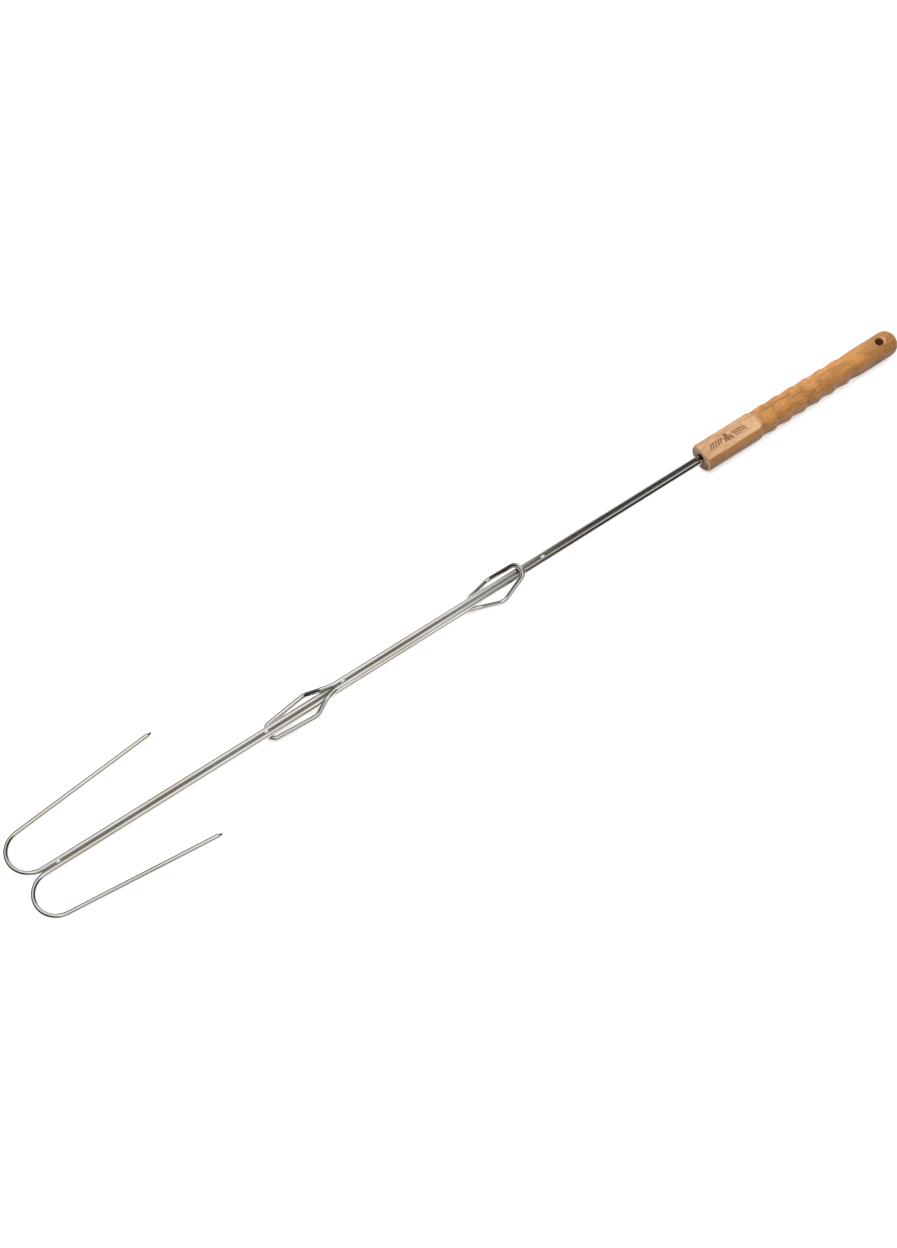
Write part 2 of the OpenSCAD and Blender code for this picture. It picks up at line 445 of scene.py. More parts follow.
@dataclass(frozen=True)
class EndGrain(Finish):
    """Sawn end grain: open pores, growth rings and a dry, rough face."""

    pore_pitch: float = 0.7 * MM
    ring_scale: float = 115

    def paint(self, mix: Recipe) -> None:
        """Adds the rings, the cloudy tone and the pores.

        Args:
            mix: The new material's recipe.
        """
        pores_in = {"Vector": mix.place((0, 1 / self.pore_pitch, 1 / self.pore_pitch)), "Scale": 1.0}
        pores = mix.add("TexVoronoi", pores_in, feature="F1")
        open_pores = mix.span(pores.outputs["Distance"], 0.1, 0.35, 0.8, 0)
        rings_in = {"Vector": mix.place((1, 1, 1), PITH), "Scale": self.ring_scale, "Distortion": 1.5}
        wave = mix.add("TexWave", rings_in, wave_type="RINGS", rings_direction="X", wave_profile="SIN")
        cloud = mix.noise(mix.place((90, 240, 240)), detail=5)
        tone = mix.sum("ADD", mix.sum("MULTIPLY", wave.outputs["Fac"], 0.35),
                       mix.span(cloud, *NOISE_RANGE, 0, 0.6))
        colour = mix.mix(open_pores, mix.mix(tone, self.pale, self.deep), tuple(0.5 * c for c in self.deep))
        mix.feed(mix.surface, {"Base Color": colour, "Roughness": mix.span(cloud, *NOISE_RANGE, 0.7, 0.9)})
        mix.relief(mix.sum("MULTIPLY", open_pores, -1), 0.12 * MM, 0.7)


@dataclass(frozen=True)
class Scorch(Finish):
    """The scorched floor of a branded mark."""

    def paint(self, mix: Recipe) -> None:
        """Adds the char.

        Args:
            mix: The new material's recipe.
        """
        char = mix.noise(mix.place((500, 900, 900)), detail=5, rough=0.7)
        mix.feed(mix.surface, {"Base Color": mix.mix(mix.span(char, *NOISE_RANGE), self.pale, self.deep),
                               "Roughness": mix.span(char, *NOISE_RANGE, 0.75, 0.95)})
        mix.relief(char, 0.08 * MM, 0.8)


@dataclass(frozen=True)
class Steel(Finish):
    """Polished drawn wire: drawing lines along it, a faint warm tint in patches and small scuffs."""

    roughness: float
    warmth: float = 0.6

    def paint(self, mix: Recipe) -> None:
        """Adds the patches, the scuffs and the lines, all along the wire as if it were straight.

        Args:
            mix: The new material's recipe.
        """
        pulled = mix.add("Attribute", attribute_name=WireRun.STRAIGHTENED, attribute_type="GEOMETRY")
        along = pulled.outputs["Vector"]
        lines = mix.noise(mix.place((16, 5200, 5200), source=along), detail=2)
        scuffs = mix.noise(mix.place((420, 1300, 1300), (4, 2, 9), source=along), detail=5, rough=0.65)
        patches = mix.noise(mix.place((9, 70, 70), (1, 6, 3), source=along), detail=4, rough=0.6,
                            distortion=0.4)
        tint = mix.sum("MULTIPLY", mix.span(patches, 0.38, 0.72), self.warmth)
        colour = mix.mix(mix.span(scuffs, 0.58, 0.74, 0, 0.3), mix.mix(tint, self.pale, self.deep),
                         tuple(0.7 * c for c in self.pale))
        haze = mix.sum("ADD", mix.span(scuffs, 0.5, 0.85, 0, 0.12), mix.span(patches, *NOISE_RANGE, 0, 0.05))
        mix.feed(mix.surface, {"Base Color": colour, "Metallic": 1.0,
                               "Roughness": mix.sum("ADD", haze, self.roughness)})
        mix.relief(lines, 0.012 * MM, 0.35)
        mix.relief(scuffs, 0.02 * MM, 0.12)


@dataclass(frozen=True)
class WeldSkin(Finish):
    """The rippled skin of a weld: bright metal with spots of straw heat tint."""

    ripple_scale: float = 380

    def paint(self, mix: Recipe) -> None:
        """Adds the spots and the ripples.

        Args:
            mix: The new material's recipe.
        """
        ripple_in = {"Vector": mix.place((1, 1, 1)), "Scale": self.ripple_scale, "Distortion": 3}
        ripple = mix.add("TexWave", ripple_in, wave_type="BANDS", bands_direction="X")
        spots = mix.noise(mix.place((700, 700, 700)), detail=4)
        colour = mix.mix(mix.span(spots, 0.45, 0.7, 0, 0.7), self.pale, self.deep)
        mix.feed(mix.surface, {"Base Color": colour, "Metallic": 0.7,
                               "Roughness": mix.span(spots, *NOISE_RANGE, 0.22, 0.42)})
        mix.relief(ripple.outputs["Fac"], 0.12 * MM, 0.5)


@dataclass(frozen=True)
class Glue(Finish):
    """Cured wood glue: amber, satin, with small bubbles."""

    def paint(self, mix: Recipe) -> None:
        """Adds the cloudy tone and the bubbles.

        Args:
            mix: The new material's recipe.
        """
        cloud = mix.noise(mix.place((300, 300, 300)), detail=4)
        bubbles = mix.add("TexVoronoi", {"Vector": mix.place((900, 900, 900)), "Scale": 1.0},
                          feature="SMOOTH_F1")
        mix.feed(mix.surface, {"Base Color": mix.mix(mix.span(cloud, *NOISE_RANGE), self.pale, self.deep),
                               "Roughness": mix.span(cloud, *NOISE_RANGE, 0.3, 0.5)})
        mix.relief(bubbles.outputs["Distance"], 0.15 * MM, 0.4)


class FinishName(Enum):
    """Every finish on the fork."""

    OILED_WOOD = "oiled_wood"
    SANDED_WOOD = "sanded_wood"
    BORED_WOOD = "bored_wood"
    END_GRAIN = "end_grain"
    SCORCH = "scorched_mark"
    HANDLE_STEEL = "handle_wire_steel"
    FORK_STEEL = "fork_wire_steel"
    GROUND_STEEL = "ground_steel"
    WELD = "weld_skin"
    GLUE = "cured_glue"


Finishes = dict[FinishName, bpy.types.Material]


def make_finishes() -> Finishes:
    """Builds every finish once.

    Returns:
        The material for each finish.
    """
    steel_white: Colour = (0.575, 0.565, 0.545)
    recipes = {
        # The oiled handle wood has shade painted into its grooves and underside.
        FinishName.OILED_WOOD: Wood("oiled_wood", (0.42, 0.192, 0.052), (0.235, 0.09, 0.019), 0.5,
                                    painted_shade=1.0, oil=0.06),
        FinishName.SANDED_WOOD: Wood("sanded_wood", (0.455, 0.27, 0.147), (0.31, 0.165, 0.078), 0.66),
        # Dark wood lines the socket bore and the hang hole as painted shade.
        FinishName.BORED_WOOD: Wood("bored_wood", (0.24, 0.105, 0.04), (0.13, 0.052, 0.02), 0.8),
        FinishName.END_GRAIN: EndGrain("end_grain", (0.44, 0.32, 0.22), (0.28, 0.185, 0.12)),
        FinishName.SCORCH: Scorch("scorched_mark", (0.23, 0.11, 0.05), (0.12, 0.055, 0.025)),
        FinishName.HANDLE_STEEL: Steel("handle_wire_steel", steel_white, (0.43, 0.375, 0.31), 0.04),
        FinishName.FORK_STEEL: Steel("fork_wire_steel", steel_white, (0.46, 0.41, 0.34), 0.04, 0.7),
        FinishName.GROUND_STEEL: Steel("ground_steel", (0.72, 0.71, 0.70), (0.6, 0.57, 0.52), 0.26, 0.3),
        FinishName.WELD: WeldSkin("weld_skin", (0.88, 0.88, 0.87), (0.66, 0.58, 0.47)),
        FinishName.GLUE: Glue("cured_glue", (0.45, 0.28, 0.10), (0.25, 0.13, 0.05)),
    }
    return {key: recipe.make() for key, recipe in recipes.items()}


# Wires


@dataclass(frozen=True)
class Corner:
    """A point that a wire is bent round, with the radius of its bend."""

    point: Vector
    bend: float = 0.0


def mirrored(half: Sequence[Corner]) -> list[Corner]:
    """Gives the -Y half of a wire from its +Y half, back from its closed end."""
    return [Corner(Vector((c.point.x, -c.point.y, c.point.z)), c.bend) for c in reversed(half)]


@dataclass
class WireRun:
    """One length of round wire, bent through its corners as on a bending jig."""

    name: str
    corners: list[Corner]
    radius: float
    sides: int = 32
    bend_step: float = math.radians(5)
    fewest_steps: int = 3

    STRAIGHTENED = "straightened"

    def draw(self) -> bpy.types.Object:
        """Draws the wire out from its first corner: extruded where straight, spun where bent.

        Returns:
            The wire with open ends, its last ring selected, still in edit mode.
        """
        start = self.corners[0].point
        heading = (self.corners[1].point - start).normalized()
        turn = heading.to_track_quat("Z", "Y").to_euler()
        clear_bench()
        bpy.ops.mesh.primitive_circle_add(vertices=self.sides, radius=self.radius, location=start,
                                          rotation=turn)
        wire = name_new(self.name)
        start_edit(wire)
        bpy.ops.mesh.select_all(action="SELECT")
        here = start
        for before, corner, after in zip(self.corners, self.corners[1:], self.corners[2:]):
            along = (corner.point - before.point).normalized()
            leaving = (after.point - corner.point).normalized()
            angle = along.angle(leaving)
            bend_start = corner.point - along * corner.bend * math.tan(angle / 2)
            extrude(bend_start - here)
            centre = corner.point + (leaving - along).normalized() * corner.bend / math.cos(angle / 2)
            steps = max(self.fewest_steps, math.ceil(angle / self.bend_step))
            bpy.ops.mesh.spin(steps=steps, angle=-angle, center=centre, axis=along.cross(leaving))
            here = corner.point + leaving * corner.bend * math.tan(angle / 2)
        extrude(self.corners[-1].point - here)
        return wire

    def pull_straight(self, wire: bpy.types.Object) -> None:
        """Writes each point's place on the wire as if it were pulled straight, for finishes that follow it.

        Args:
            wire: The drawn wire, whose points lie ring by ring.
        """
        points = [v.co.copy() for v in wire.data.vertices]
        rings = [points[i:i + self.sides] for i in range(0, len(points) - self.sides + 1, self.sides)]
        centres = [sum(ring, Vector()) / self.sides for ring in rings]
        place = wire.data.attributes.new(self.STRAIGHTENED, "FLOAT_VECTOR", "POINT")
        run = 0.0
        for i, centre in enumerate(centres):
            run += (centre - centres[i - 1]).length if i else 0.0
            for k in range(self.sides):
                angle = 2 * math.pi * k / self.sides
                spot = (run, self.radius * math.cos(angle), self.radius * math.sin(angle))
                place.data[i * self.sides + k].vector = spot


@dataclass
class GuideLoop:
    """Sizes of a guide loop, from where its wires leave their pair."""

    shoulder: tuple[float, float, float]
    belly: tuple[float, float, float]
    end: tuple[float, float, float]
    start_bend: float = 15 * MM
    belly_bend: float = 12 * MM
    end_bend: float = 6.5 * MM

    def corners(self, start: Vector, way: int) -> list[Corner]:
        """Gives the loop's corners on the +Y side.

        Args:
            start: Where the wire's centre leaves its pair.
            way: 1 if the loop opens towards +X, and -1 if towards -X.

        Returns:
            The start, the shoulder, the widest place and the closed end.
        """
        marks = [(self.shoulder, self.start_bend), (self.belly, self.belly_bend), (self.end, self.end_bend)]
        found = [Corner(start, self.start_bend)]
        for (along, half_width, rise), bend in marks:
            found.append(Corner(Vector((start.x + way * along, half_width, start.z + rise)), bend))
        return found


@dataclass
class WirePair:
    """What both bent wires share: the round wire and the pair that its two legs make."""

    finishes: Finishes
    radius: float = 2.5 * MM
    gap: float = 0.2 * MM
    slide_gap: float = 0.3 * MM

    @property
    def leg_y(self) -> float:
        """Distance from the middle of the pair to each leg's centre."""
        return self.radius + self.gap / 2

    @property
    def stack(self) -> float:
        """Distance from one pair's centres down to the other's."""
        return 2 * self.radius + self.slide_gap

    @property
    def snug_y(self) -> float:
        """Half width of a loop that just touches the sides of a pair."""
        return self.leg_y + 2 * self.radius


@dataclass
class HandleWire(WirePair):
    """The hairpin that is glued into the handle and spread into the front guide loop."""

    rod_length: float = 416.5 * MM
    loop_length: float = 71 * MM

    def build(self) -> None:
        """Draws the wire, closes its two ends, and gives it its finish and its place in the frame."""
        cad_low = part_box("handle_wire")[0]
        front_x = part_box("handle")[1].x
        start = Vector((front_x + self.rod_length, self.leg_y, 0))
        loop = GuideLoop(
            shoulder=(11.5 * MM, self.leg_y + 2.6 * MM, -0.3 * MM),
            belly=(26 * MM, self.snug_y + 4.5 * MM, -6.5 * MM),
            end=(self.loop_length, self.snug_y, -2 * self.stack))
        half = [Corner(Vector((cad_low.x, self.leg_y, 0))), *loop.corners(start, 1)]
        run = WireRun("bent_handle_wire", half + mirrored(half), self.radius)
        wire = run.draw()
        stop_edit()
        run.pull_straight(wire)
        start_edit(wire)
        for side in (1, -1):
            pick(Kind.VERTS, lambda v, s=side: v.co.x < cad_low.x + NEAR and v.co.y * s > 0)
            close_end()
        stop_edit()
        face_outwards(wire)
        smooth(wire, 30)
        wire.data.materials.append(self.finishes[FinishName.HANDLE_STEEL])
        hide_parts("handle_wire")
        seat(wire, HANDLE_BODY)


@dataclass
class ForkWire(WirePair):
    """The wire that is bent into two tines and, at its middle, into the rear guide loop."""

    fork_length: float = 458 * MM
    loop_length: float = 62.5 * MM
    bend_width: float = 41.6 * MM
    tine_length: float = 144 * MM
    splay: float = math.radians(5.7)
    tip_length: float = 4 * MM
    tip_radius: float = 1.1 * MM
    largest_tip_face: float = 1.4 * MM * MM

    def build(self) -> None:
        """Draws the wire, grinds its two tips and dresses it."""
        crown_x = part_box("fork_wire")[1].x - self.radius
        bend = self.bend_width / 2
        overrun = bend * math.tan((QUARTER_TURN - self.splay) / 2)
        corner = Vector((crown_x, self.leg_y + bend + overrun, -self.stack))
        backwards = Vector((-math.cos(self.splay), math.sin(self.splay), 0))
        ground_from = corner + (self.tine_length + overrun - self.tip_length) * backwards
        loop = GuideLoop(
            shoulder=(13.5 * MM, self.leg_y + 5 * MM, 0),
            belly=(35 * MM, self.snug_y + 6.1 * MM, -3 * MM),
            end=(self.loop_length, self.snug_y - 0.8 * MM, 2 * self.stack))
        loop_start = Vector((crown_x - self.fork_length, self.leg_y, -self.stack))
        half = [Corner(ground_from), Corner(corner, bend),
                Corner(Vector((crown_x, self.leg_y, -self.stack)), bend), *loop.corners(loop_start, -1)]
        run = WireRun("bent_fork_wire", half + mirrored(half), self.radius)
        wire = run.draw()
        stop_edit()
        run.pull_straight(wire)
        for side in (1, -1):
            self.grind_tip(wire, Vector((ground_from.x, side * ground_from.y, ground_from.z)),
                           Vector((backwards.x, side * backwards.y, 0)))
        face_outwards(wire)
        smooth(wire, 18)
        self.dress(wire)

    def grind_tip(self, wire: bpy.types.Object, start: Vector, outwards: Vector) -> None:
        """Grinds one end of the wire to a blunt, slightly rounded point.

        Args:
            wire: The wire, in object mode.
            start: Where the grinding begins, on the wire's centre.
            outwards: The way the tine points.
        """
        start_edit(wire)
        slack = 0.05 * MM
        pick(Kind.VERTS, lambda v: abs((v.co - start).length - self.radius) < slack
             and abs((v.co - start).dot(outwards)) < slack)
        nose = 0.35 * MM
        reached, centre = self.radius, start
        profile = [(0.08 * MM, self.radius - 0.12 * MM), (self.tip_length - nose, self.tip_radius),
                   (0.6 * nose, 0.8 * self.tip_radius), (0.4 * nose, 0.35 * self.tip_radius)]
        for step, radius in profile:
            extrude(outwards * step)
            centre = centre + outwards * step
            resize((radius / reached,) * 3, centre)
            reached = radius
        close_end()
        stop_edit()

    def dress(self, wire: bpy.types.Object) -> None:
        """Gives the wire its finishes and its place in the frame.

        Args:
            wire: The finished wire.
        """
        wire.data.materials.append(self.finishes[FinishName.FORK_STEEL])
        wire.data.materials.append(self.finishes[FinishName.GROUND_STEEL])
        tip_end = max(abs(v.co.y) for v in wire.data.vertices)
        for face in wire.data.polygons:
            at_tip = abs(face.center.y) > tip_end - self.radius - 0.2 * MM
            if at_tip and face.area < self.largest_tip_face:
                face.material_index = 1
        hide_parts("fork_wire")
        seat(wire, FORK_BODY)


@dataclass
class WeldBead:
    """One resistance weld: a small rippled bead that fills the groove between the legs of a pair."""

    node: str
    body: str
    finishes: Finishes
    length: float = 5.6 * MM
    width: float = 3.6 * MM
    height: float = 4.9 * MM
    lobes: int = 3
    bulge: tuple[float, float, float] = (1, 1.1, 1.06)

    def build(self) -> None:
        """Models the bead, and gives it its finish and its place in the frame."""
        low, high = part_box(self.node)
        middle = (low + high) / 2
        clear_bench()
        bpy.ops.mesh.primitive_uv_sphere_add(segments=24, ring_count=16, radius=0.5, location=middle,
                                             rotation=(0, QUARTER_TURN, 0))
        bead = name_new(self.node.replace("weld", "weld_bead"))
        start_edit(bead)
        bpy.ops.mesh.select_all(action="SELECT")
        resize((self.length, self.width, self.height), middle)
        half_lobe = 0.32 * self.length / self.lobes
        for lobe in range(self.lobes):
            x = middle.x + (lobe - (self.lobes - 1) / 2) * self.length / self.lobes
            pick(Kind.VERTS, lambda v, x=x: abs(v.co.x - x) < half_lobe)
            resize(self.bulge, middle)
        stop_edit()
        smooth(bead, 60)
        bead.data.materials.append(self.finishes[FinishName.WELD])
        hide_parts(self.node)
        seat(bead, self.body)


# Handle


@dataclass
class Handle:
    """The turned wooden handle with its finger grooves, milled flat, hang hole and wire socket."""

    finishes: Finishes
    front_radius: float = 14.25 * MM
    rear_radius: float = 13 * MM
    dome_length: float = 11 * MM
    edge_radius: float = 2 * MM
    groove_count: int = 7
    groove_pitch: float = 18.4 * MM
    groove_depth: float = 1.2 * MM
    first_groove: float = 71.5 * MM
    groove_lean: float = 0.3
    top_depth: float = 0.55 * MM
    flat_length: float = 66 * MM
    flat_z: float = 10 * MM
    flat_corner: float = 5 * MM
    hole_radius: float = 4.5 * MM
    hole_sink: float = 2 * MM
    bore_radius: float = 5.3 * MM
    bore_depth: float = 92 * MM
    sides: int = 100
    ring_step: float = 1.15 * MM
    dome_steps: int = 12
    edge_steps: int = 6

    HOLLOW = "hollow"

    def __post_init__(self) -> None:
        """Reads the handle's two ends from its CAD node."""
        low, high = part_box("handle")
        self.rear_x = low.x
        self.front_x = high.x
        self.grip_front = self.front_x - self.first_groove + self.groove_pitch / 2
        self.grip_rear = self.grip_front - self.groove_count * self.groove_pitch

    def barrel(self, x: float) -> float:
        """Radius of the turned blank at x, before its grooves."""
        share = (x - self.grip_rear) / (self.grip_front - self.grip_rear)
        return self.rear_radius + (self.front_radius - self.rear_radius) * min(1, max(0, share))

    def hollow(self, x: float) -> float:
        """How deep a groove is at x, from 0 on a crest to 1 at its bottom.

        Args:
            x: The place along the handle.

        Returns:
            The depth as a share. Each groove falls steeply behind its front crest, then rises slowly.
        """
        if not self.grip_rear < x < self.grip_front:
            return 0.0
        phase = ((self.grip_front - x) / self.groove_pitch) % 1
        rise = self.groove_lean
        if phase < rise:
            wave = 0.5 - 0.5 * math.cos(HALF_TURN * phase / rise)
        else:
            wave = 0.5 + 0.5 * math.cos(HALF_TURN * (phase - rise) / (1 - rise))
        return wave ** 0.75

    def stations(self) -> list[tuple[float, float]]:
        """Gives the rings of the turned blank.

        Returns:
            The place and the radius of each ring, from the rear end to the front face.
        """
        dome_end = self.rear_x + self.dome_length
        rings = []
        for step in range(1, self.dome_steps + 1):
            angle = QUARTER_TURN * step / self.dome_steps
            rings.append((dome_end - self.dome_length * math.cos(angle), self.rear_radius * math.sin(angle)))
        count = round((self.grip_front - self.grip_rear) / self.ring_step)
        for step in range(count + 1):
            x = self.grip_rear + step * (self.grip_front - self.grip_rear) / count
            rings.append((x, self.barrel(x)))
        for step in range(self.edge_steps + 1):
            angle = QUARTER_TURN * step / self.edge_steps
            rings.append((self.front_x - self.edge_radius * (1 - math.sin(angle)),
                          self.front_radius - self.edge_radius * (1 - math.cos(angle))))
        return rings

    def turn_blank(self) -> bpy.types.Object:
        """Draws the blank out ring by ring and presses the finger grooves in from below.

        Returns:
            The closed blank.
        """
        rings = self.stations()
        first_x, first_r = rings[0]
        clear_bench()
        bpy.ops.mesh.primitive_circle_add(vertices=self.sides, radius=first_r, location=(first_x, 0, 0),
                                          rotation=(0, QUARTER_TURN, 0))
        blank = name_new("turned_handle")
        start_edit(blank)
        bpy.ops.mesh.select_all(action="SELECT")
        here, size, lift = first_x, first_r, 0.0
        for x, radius in rings[1:]:
            share = self.hollow(x)
            shallow, deep = self.top_depth * share, (2 * self.groove_depth - self.top_depth) * share
            new_size = radius - (shallow + deep) / 2
            new_lift = (deep - shallow) / 2
            extrude(Vector((x - here, 0, new_lift - lift)))
            resize((1, new_size / size, new_size / size), Vector((x, 0, new_lift)))
            here, size, lift = x, new_size, new_lift
        close_end()
        pick(Kind.VERTS, lambda v: v.co.x < first_x + HAIR)
        extrude(Vector((self.rear_x - first_x, 0, 0)))
        bpy.ops.mesh.merge(type="CENTER")
        stop_edit()
        face_outwards(blank)
        return blank

    def mark_hollows(self, blank: bpy.types.Object) -> None:
        """Writes how deep in a groove each point lies, for the shade painted into the grooves.

        Args:
            blank: The blank.
        """
        hollow = blank.data.attributes.new(self.HOLLOW, "FLOAT", "POINT")
        for vertex in blank.data.vertices:
            out = math.hypot(vertex.co.y, vertex.co.z)
            sunk = (self.barrel(vertex.co.x) - out) / (2 * self.groove_depth)
            inside = self.hollow(vertex.co.x) * min(1.0, max(0.0, sunk)) ** 0.5
            hollow.data[vertex.index].value = inside

    def flat_cutter(self) -> bpy.types.Object:
        """Models the block that mills the flat, with round corners and a ramp at its rear.

        Returns:
            The cutter.
        """
        rear = self.front_x - self.flat_length
        past = 3 * MM
        half_width = math.sqrt(self.front_radius ** 2 - self.flat_z ** 2) + 0.3 * MM
        length, height, ramp = self.flat_length + past, 6 * MM, 3 * MM
        centre = Vector((rear + length / 2, 0, self.flat_z + height / 2))
        clear_bench()
        bpy.ops.mesh.primitive_cube_add(size=1, location=centre, scale=(length, 2 * half_width, height))
        cutter = name_new("flat_cutter")
        start_edit(cutter)
        pick(Kind.EDGES, lambda e: all(v.co.x < rear + NEAR for v in e.verts)
             and abs(e.verts[0].co.z - e.verts[1].co.z) > height / 2)
        bpy.ops.mesh.bevel(offset=self.flat_corner, segments=9, affect="EDGES")
        pick(Kind.VERTS, lambda v: v.co.z > self.flat_z + height / 2)
        resize((1 + ramp / length, 1 + ramp / half_width, 1), Vector((rear + length, 0, 0)))
        stop_edit()
        cutter.data.materials.append(self.finishes[FinishName.SANDED_WOOD])
        return cutter

    def round_cutter(self, name: str, radii: tuple[float, float], place: Vector, depth: float,
                     turn: tuple[float, float, float], finish: FinishName) -> bpy.types.Object:
        """Models a drill or a countersink.

        Args:
            name: The cutter's name.
            radii: Its radius at its lower and its upper end.
            place: Its middle.
            depth: Its length.
            turn: Its turn about each axis.
            finish: The finish of the wall that it leaves.

        Returns:
            The cutter.
        """
        clear_bench()
        bpy.ops.mesh.primitive_cone_add(vertices=64, radius1=radii[0], radius2=radii[1], depth=depth,
                                        location=place, rotation=turn)
        cutter = name_new(name)
        cutter.data.materials.append(self.finishes[finish])
        return cutter

    def drill(self, blank: bpy.types.Object) -> None:
        """Bores the wire socket and the hang hole, and countersinks both mouths of the hole.

        Args:
            blank: The blank.
        """
        past = 2 * MM
        middle = Vector((self.front_x - self.bore_depth / 2 + past / 2, 0, 0))
        # The socket and the hang hole walls take dark wood: painted shade inside them.
        cut(blank, self.round_cutter("socket_drill", (self.bore_radius,) * 2, middle, self.bore_depth + past,
                                     (0, QUARTER_TURN, 0), FinishName.BORED_WOOD))
        cut(blank, self.round_cutter("hole_drill", (self.hole_radius,) * 2, Vector(), 3 * self.rear_radius,
                                     (0, 0, 0), FinishName.BORED_WOOD))
        for side in (1, -1):
            mouth = (self.hole_radius, self.hole_radius + self.hole_sink + past)
            z = side * (self.rear_radius - self.hole_sink + (self.hole_sink + past) / 2)
            turn = (0, 0, 0) if side > 0 else (HALF_TURN, 0, 0)
            cut(blank, self.round_cutter("countersink", mouth, Vector((0, 0, z)), self.hole_sink + past,
                                         turn, FinishName.SANDED_WOOD))

    def build(self) -> None:
        """Turns, mills, drills, marks and dresses the handle."""
        blank = self.turn_blank()
        blank.data.materials.append(self.finishes[FinishName.OILED_WOOD])
        self.mark_hollows(blank)
        cut(blank, self.flat_cutter())
        self.drill(blank)
        round_edges(blank, 0.35 * MM, 2, 28, lambda p: p.xy.length > 2 * self.hole_radius)
        for cutter in CampfireMark(self).build():
            cut(blank, cutter)
        smooth(blank, 40)
        self.dress(blank)

    def dress(self, blank: bpy.types.Object) -> None:
        """Gives the front face its end grain and the handle its place in the frame.

        Args:
            blank: The finished handle.
        """
        blank.data.materials.append(self.finishes[FinishName.END_GRAIN])
        end_grain = len(blank.data.materials) - 1
        for face in blank.data.polygons:
            outside = math.hypot(face.center.y, face.center.z) > self.bore_radius
            ahead = face.normal.x > 0.7 and face.center.x > self.front_x - self.edge_radius
            if ahead and outside:
                face.material_index = end_grain
        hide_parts("handle")
        seat(blank, HANDLE_BODY)


@dataclass
class CampfireMark:
    """A plain mark pressed into the flat: a small flame between two rows of slanted strokes."""

    handle: Handle
    depth: float = 0.4 * MM
    stroke_length: float = 7.6 * MM
    stroke_width: float = 1.45 * MM
    stroke_pitch: float = 3.0 * MM
    strokes: int = 5
    first_stroke: float = 8 * MM
    slant: float = math.radians(28)

    def stroke(self, x: float, slant: float) -> bpy.types.Object:
        """Models one slanted stroke with round ends.

        Args:
            x: The place of its middle along the handle.
            slant: Its slant from square across the handle.

        Returns:
            The stroke's cutter.
        """
        clear_bench()
        place = Vector((x, 0, self.handle.flat_z))
        bpy.ops.mesh.primitive_cube_add(size=1, location=place, rotation=(0, 0, slant),
                                        scale=(self.stroke_width, self.stroke_length, 2 * self.depth))
        bar = name_new("stroke")
        start_edit(bar)
        pick(Kind.EDGES, lambda e: abs(e.verts[0].co.z - e.verts[1].co.z) > self.depth)
        bpy.ops.mesh.bevel(offset=0.45 * self.stroke_width, segments=4, affect="EDGES")
        stop_edit()
        return bar

    def tongue(self, centre: tuple[float, float], size: float, lean: float) -> bpy.types.Object:
        """Models one tongue of the flame: a drop with its point drawn out.

        Args:
            centre: The middle of its round end, along and across the handle.
            size: The radius of its round end.
            lean: How far its point leans along the handle.

        Returns:
            The tongue's cutter.
        """
        clear_bench()
        base = self.handle.flat_z - self.depth
        bpy.ops.mesh.primitive_circle_add(vertices=20, radius=size, fill_type="NGON",
                                          location=(*centre, base))
        drop = name_new("tongue")
        start_edit(drop)
        for share, pull in ((0.55, 0.5), (0.85, 0.8), (0.99, 1.1)):
            pick(Kind.VERTS, lambda v, s=share: v.co.y < centre[1] - s * size)
            bpy.ops.transform.translate(value=(lean * pull, -size * pull, 0))
        pick(Kind.VERTS, lambda v: True)
        extrude(Vector((0, 0, 2 * self.depth)))
        stop_edit()
        face_outwards(drop)
        return drop

    def build(self) -> list[bpy.types.Object]:
        """Models the whole mark.

        Returns:
            A cutter for each of its strokes and tongues.
        """
        middle = self.handle.front_x - self.handle.flat_length / 2 + 2 * MM
        parts = [self.tongue((middle, 2.0 * MM), 2.2 * MM, 0.5 * MM),
                 self.tongue((middle - 3.9 * MM, 2.8 * MM), 1.3 * MM, 0.4 * MM),
                 self.tongue((middle + 3.9 * MM, 2.8 * MM), 1.3 * MM, -0.4 * MM)]
        for side in (1, -1):
            for count in range(self.strokes):
                x = middle + side * (self.first_stroke + count * self.stroke_pitch)
                parts.append(self.stroke(x, -side * self.slant))
        for part in parts:
            part.data.materials.append(self.handle.finishes[FinishName.SCORCH])
        return parts


# Studio


@dataclass
class Softbox:
    """One soft studio light."""

    name: str
    place: tuple[float, float, float]
    target: tuple[float, float, float]
    size: tuple[float, float]
    power: float

    def hang(self) -> None:
        """Adds the light to the scene."""
        lamp = bpy.data.lights.new(self.name, "AREA")
        lamp.shape = "RECTANGLE"
        lamp.size, lamp.size_y = self.size
        lamp.energy = self.power
        light = bpy.data.objects.new(self.name, lamp)
        bpy.context.scene.collection.objects.link(light)
        light.visible_glossy = False
        light.location = self.place
        light.rotation_euler = (Vector(self.target) - Vector(self.place)).to_track_quat("-Z", "Y").to_euler()


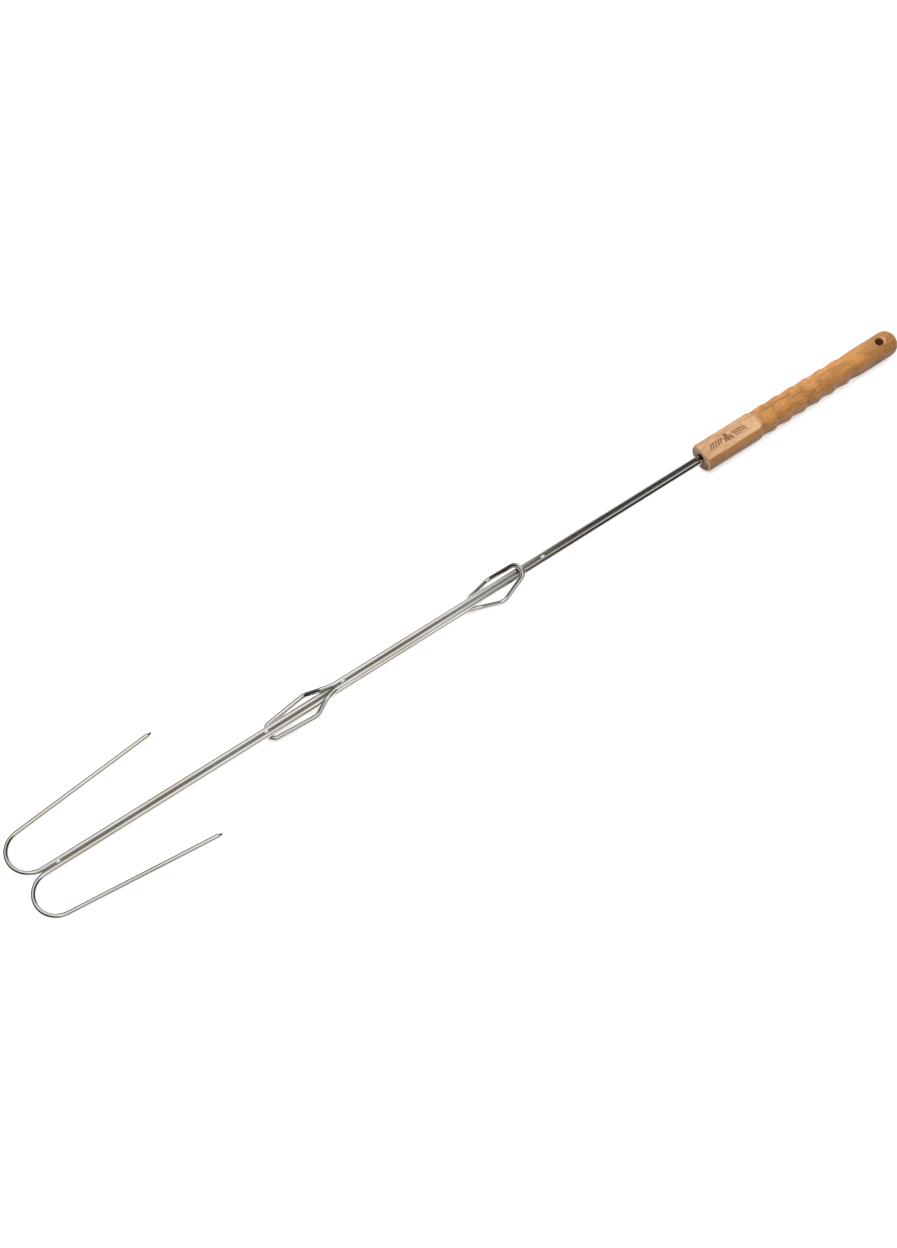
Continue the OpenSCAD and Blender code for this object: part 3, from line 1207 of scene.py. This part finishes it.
@dataclass
class Studio:
    """The plain pale floor, the soft light and the camera."""

    eye: tuple[float, float, float] = (1.0206, 0.6900, 1.5485)
    forward: tuple[float, float, float] = (-0.284, -0.387, -0.877)
    right: tuple[float, float, float] = (-0.813, 0.582, 0.006)
    lens: float = 56.62
    sensor: float = 36
    far_clip: float = 50
    floor_size: float = 40.0
    floor_x: float = 0.45
    floor_gap: float = 0.2 * MM
    dark_spot: tuple[float, float, float] = (0.09, 0.40, 0.91)

    def lay_floor(self) -> None:
        """Lays the floor just under the object. It shines a little more to the camera than to the metal."""
        clear_bench()
        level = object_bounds()[0].z - self.floor_gap
        bpy.ops.mesh.primitive_plane_add(size=self.floor_size, location=(self.floor_x, 0, level))
        floor = name_new("studio_floor")
        mix = Recipe("studio_paper")
        seen = mix.add("LightPath").outputs["Is Camera Ray"]
        mix.feed(mix.surface, {"Base Color": (0.93, 0.93, 0.925, 1), "Emission Color": (1, 1, 0.995, 1),
                               "Emission Strength": mix.span(seen, 0, 1, 0.12, 0.5),
                               "Roughness": 0.9, "Specular IOR Level": 0.1})
        floor.data.materials.append(mix.material)
        floor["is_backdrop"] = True

    def paint_room(self) -> None:
        """Paints the room that the metal reflects: a bright ceiling and far wall, and dark near walls.

        The dark spot in the ceiling is the camera's own opening, and a pale skirting hides the horizon.
        """
        mix = Recipe("studio_room", world=True)
        bpy.context.scene.world = mix.material
        way = mix.add("TexCoord").outputs["Generated"]
        x, y, z = mix.add("SeparateXYZ", {0: way}).outputs
        ceiling = mix.sum("MULTIPLY", mix.span(x, -0.35, -0.27), mix.span(x, 0.5, 0.25))
        ceiling = mix.sum("MULTIPLY", ceiling, mix.span(y, 1.0, 0.5, 0.1, 1.45))
        ceiling = mix.sum("MULTIPLY", ceiling, mix.span(y, -0.8, -0.25, 0.15, 1))
        gap = mix.add("VectorMath", {0: way, 1: self.dark_spot}, operation="DISTANCE")
        ceiling = mix.sum("MULTIPLY", ceiling, mix.span(gap.outputs["Value"], 0.09, 0.22, 0.1, 1))
        far_wall = mix.sum("MULTIPLY", mix.span(y, -0.2, -0.5, 0, 0.85), mix.span(z, 0.0, 0.25))
        far_wall = mix.sum("MULTIPLY", far_wall, mix.span(x, -0.2, -0.34, 0.12, 1))
        skirting = mix.span(z, 0.09, 0.05, 0, 0.75)
        base = mix.sum("ADD", mix.sum("ADD", far_wall, skirting), 0.05)
        mix.feed(mix.surface, {"Color": (1, 1, 0.99, 1), "Strength": mix.sum("MAXIMUM", ceiling, base)})

    def hang_lights(self) -> None:
        """Hangs the softboxes."""
        Softbox("key_box", (0.5, -1.0, 1.9), (0.42, 0, 0), (2.6, 1.8), 52).hang()
        Softbox("top_box", (0.45, 0.1, 2.3), (0.45, 0, 0), (3.0, 2.2), 40).hang()

    def set_camera(self) -> None:
        """Sets up the camera."""
        lens = bpy.data.cameras.new("studio_camera")
        lens.lens = self.lens
        lens.sensor_width = self.sensor
        lens.clip_end = self.far_clip
        camera = bpy.data.objects.new("studio_camera", lens)
        bpy.context.scene.collection.objects.link(camera)
        ahead = Vector(self.forward).normalized()
        across = Vector(self.right)
        across = (across - ahead * across.dot(ahead)).normalized()
        up = across.cross(ahead)
        turn = Matrix((across, up, -ahead)).transposed().to_4x4()
        camera.matrix_world = Matrix.Translation(self.eye) @ turn
        bpy.context.scene.camera = camera

    def build(self) -> None:
        """Sets the whole studio up."""
        self.set_camera()
        self.lay_floor()
        self.paint_room()
        self.hang_lights()
        bpy.context.scene.view_settings.view_transform = "Standard"


def dress_glue(finishes: Finishes) -> None:
    """Gives the one CAD node that stays, the glue in the socket, its finish.

    Args:
        finishes: The material for each finish.
    """
    mesh = frame["nodes"]["socket_glue"].data
    mesh.materials.clear()
    mesh.materials.append(finishes[FinishName.GLUE])


def main() -> None:
    """Builds the fork's sub-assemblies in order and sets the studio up."""
    logging.basicConfig(level=logging.INFO, format="%(name)s: %(message)s")
    finishes = make_finishes()
    for part in (Handle(finishes), HandleWire(finishes), ForkWire(finishes)):
        part.build()
    for body, nodes in frame["record"]["behaviour"]["bodies"].items():
        for node in nodes:
            if "weld" in node:
                WeldBead(node, body, finishes).build()
    dress_glue(finishes)
    clear_bench()
    Studio().build()


if __name__ == "__main__":
    main()
